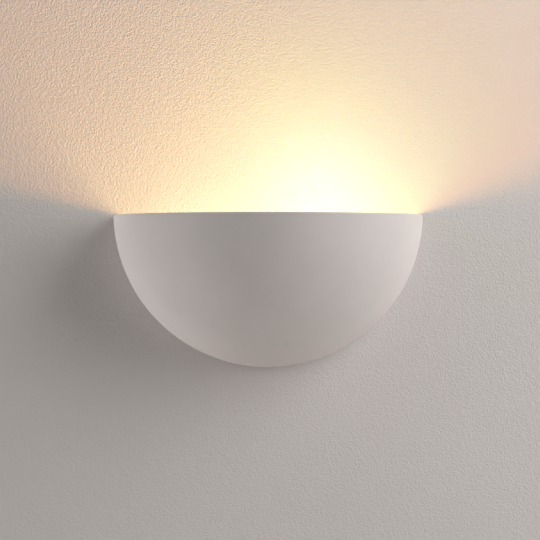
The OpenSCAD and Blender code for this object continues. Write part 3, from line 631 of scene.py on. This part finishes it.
def floor_material():
    """Pale floor that shows mostly its own colour, with a share of the light and shadow on it."""
    s = surface("pale_floor", srgb(226, 223, 219), 0.7, 0, (3, 0.02), (60, 0.05 * MM))
    glow = s.node("ShaderNodeEmission", inputs={"Color": FLOOR_COLOUR, "Strength": 1.0})
    share = s.node("ShaderNodeMath", {"operation": "MULTIPLY"}, {0: seen_directly(s.tree), 1: FLOOR_GLOW})
    s.show_mix(share.outputs[0], s.surface.outputs[0], glow.outputs[0])
    # The glow is only seen and lights nothing, so the floor isn't sampled as a lamp
    s.material.cycles.emission_sampling = "NONE"
    return s.material


def sheet_of(name, corners, material):
    """One flat face of the stage."""
    made = bpy.data.objects.new(name, bpy.data.meshes.new(name))
    made.data.from_pydata(corners, [], [(0, 1, 2, 3)])
    made.data.materials.append(material)
    scene.collection.objects.link(made)
    return made


wall = sheet_of("stage_wall", [
    (-WALL_X, WALL_Y, FLOOR_Z), (WALL_X, WALL_Y, FLOOR_Z),
    (WALL_X, WALL_Y, WALL_TOP), (-WALL_X, WALL_Y, WALL_TOP),
], wall_material())
floor = sheet_of("stage_floor", [
    (-FLOOR_REACH, -FLOOR_REACH, FLOOR_Z), (FLOOR_REACH, -FLOOR_REACH, FLOOR_Z),
    (FLOOR_REACH, FLOOR_REACH, FLOOR_Z), (-FLOOR_REACH, FLOOR_REACH, FLOOR_Z),
], floor_material())


def link_set(name, objects):
    """A collection of objects that some lamps light, or that shade them."""
    made = bpy.data.collections.new(name)
    for obj in objects:
        made.objects.link(obj)
    return made


object_pieces = [o for o in scene.objects if o.type == "MESH" and o not in (wall, floor)]
only_stage = link_set("only_stage", [wall, floor])
only_bowl = link_set("only_bowl", [bowl])
only_object = link_set("only_object", object_pieces)
shades = link_set("shades", [bowl, nodes["wall_bracket"]])


def lamp(name, kind, place, power=1.0, colour=(1, 1, 1), aim=None, lights=None, shaded_by=None, **settings):
    """A lamp at the place, turned to its aim: it lights all, and all shades it, unless told otherwise."""
    data = bpy.data.lights.new(name, kind)
    data.energy, data.color = power, colour
    for key, value in settings.items():
        setattr(data, key, value)
    made = bpy.data.objects.new(name, data)
    made.location = place
    if aim is not None:
        made.rotation_mode = "QUATERNION"
        made.rotation_quaternion = (Vector(aim) - Vector(place)).to_track_quat("-Z", "Y")
    scene.collection.objects.link(made)
    if lights:
        made.light_linking.receiver_collection = lights
    if shaded_by:
        made.light_linking.blocker_collection = shaded_by
    return made


def round_about(azimuth, elevation, distance):
    """A place round the bowl: azimuth 0 is in front, 90 to the right."""
    a, e = math.radians(azimuth), math.radians(elevation)
    return distance * math.sin(a) * math.cos(e), -distance * math.cos(a) * math.cos(e), distance * math.sin(e)


# The soft lamps' colour, and the place that they face
DAY = (0.985, 0.995, 1.0)
MIDDLE = (0, -0.04, 0)
# Azimuth and elevation in degrees, distance in metres, power, size in metres, and what the lamp lights
SOFT_LAMPS = {
    "right_key": (75, 20, 2.2, 27.6, 2.2, None),
    "right_upper": (60, 40, 2.2, 11.2, 1.0, None),
    "right_edge": (88, 5, 2.2, 5.5, 1.0, None),
    "left_edge": (-90, 5, 2.2, 25.5, 1.0, None),
    "front_fill": (0, 10, 2.2, 4.5, 1.4, None),
    "front_low": (0, -25, 2.2, 1.5, 1.4, None),
    "wall_right": (80, 5, 1.6, 17.3, 1.6, only_stage),
    "wall_upper_right": (70, 30, 1.6, 12.2, 1.6, only_stage),
    "wall_lower_left": (-70, -30, 1.4, 1.9, 0.8, only_stage),
    "behind": (180, 20, 2.2, 16.0, 1.4, only_object),
}
for name, (azimuth, elevation, distance, power, size, lights) in SOFT_LAMPS.items():
    place = round_about(azimuth, elevation, distance)
    lamp(name, "AREA", place, power, DAY, MIDDLE, lights, only_object, shape="DISK", size=size)

# The lamp's own light and what the bowl's inside returns of it, on the wall above. Each is half a ball of
# light that points up, as the bowl lets it out, and as far from the wall as the lamp: x, z and radius in mm,
# then red, green and blue power with each way of fading
GLOWS = {
    "glow_left": (-70, 12, 30, {"Constant": (44.7, 19.1, 0), "Linear": (0, 1.94, 1.81)}),
    "glow_lamp": (30, 16, 20, {"Constant": (64.2, 19.3, 0), "Quadratic": (0, 0, 0.03)}),
    "glow_right": (100, 19, 30, {"Constant": (6.0, 0, 0), "Linear": (0.95, 4.9, 1.7)}),
}
UPWARD = {"spot_size": math.pi, "spot_blend": 0.12}
# Light that the rim sends back on the wall: place in mm, red, green and blue power, and size in metres
WASHES = {
    "wash_near": ((40, -120, 120), (0.0494, 0.0787, 0), 0.1),
    "wash_low": ((50, -100, 75), (0, 0, 0.072), 0.04),
}
# What the globe gives the bowl's inside, and the globe's glowing core
IN_BOWL = {"Constant": (0.3, 0.216, 0.126)}
CORE_R = 12 * MM


def fading(made, ways):
    """Gives the lamp light with several ways of fading, each with its own colour and power."""
    made.data.use_nodes = True
    tree = made.data.node_tree
    tree.nodes.clear()
    total = None
    for way, power in ways.items():
        top = max(power)
        fade = tree.nodes.new("ShaderNodeLightFalloff")
        fade.inputs["Strength"].default_value = top
        part = tree.nodes.new("ShaderNodeEmission")
        part.inputs["Color"].default_value = tuple(c / top for c in power) + (1,)
        tree.links.new(fade.outputs[way], part.inputs["Strength"])
        if total is None:
            total = part
        else:
            both = tree.nodes.new("ShaderNodeAddShader")
            tree.links.new(total.outputs[0], both.inputs[0])
            tree.links.new(part.outputs[0], both.inputs[1])
            total = both
    tree.links.new(total.outputs[0], tree.nodes.new("ShaderNodeOutputLight").inputs[0])


for name, (x, z, radius, ways) in GLOWS.items():
    place, above = (x * MM, -LAMP_OUT, z * MM), (x * MM, -LAMP_OUT, 1)
    glow = lamp(name, "SPOT", place, aim=above, lights=only_stage, shaded_by=shades,
                shadow_soft_size=radius * MM, **UPWARD)
    fading(glow, ways)
for name, (place, power, size) in WASHES.items():
    top = max(power)
    x, y, z = [c * MM for c in place]
    colour = [c / top for c in power]
    lamp(name, "AREA", (x, y, z), top, colour, (x, 0, z), only_stage, only_bowl, shape="DISK", size=size)
core = lamp("glow_in_bowl", "POINT", (GLOBE_X, -LAMP_OUT, LAMP_UP), lights=only_bowl, shaded_by=only_bowl,
            shadow_soft_size=CORE_R)
fading(core, IN_BOWL)

# The room: its even light on the object, and the backdrop that shows
AMBIENT, AMBIENT_STRENGTH = (1.0, 0.98, 0.97, 1), 0.06
BACKDROP = (0.82, 0.8, 0.78, 1)

world = bpy.data.worlds.new("room")
scene.world = world
world.use_nodes = True
sky = world.node_tree
ambient = sky.nodes["Background"]
ambient.inputs["Color"].default_value = AMBIENT
ambient.inputs["Strength"].default_value = AMBIENT_STRENGTH
backdrop = sky.nodes.new("ShaderNodeBackground")
backdrop.inputs["Color"].default_value = BACKDROP
pick = sky.nodes.new("ShaderNodeMixShader")
sky.links.new(seen_directly(sky), pick.inputs[0])
sky.links.new(ambient.outputs[0], pick.inputs[1])
sky.links.new(backdrop.outputs[0], pick.inputs[2])
sky.links.new(pick.outputs[0], sky.nodes["World Output"].inputs["Surface"])


# ---- Camera, 2 m in front of the wall and 55 mm below the rim ----

EYE = (1.8 * MM, -2.0, RIM - 55 * MM)
# Focal length and sensor width in mm
LENS, SENSOR = 132.9, 36

view = bpy.data.cameras.new("camera")
view.lens, view.sensor_width = LENS, SENSOR
eye = bpy.data.objects.new("camera", view)
eye.location = EYE
eye.rotation_euler = (math.radians(90), 0, 0)
scene.collection.objects.link(eye)
scene.camera = eye
scene.view_settings.view_transform = "Standard"
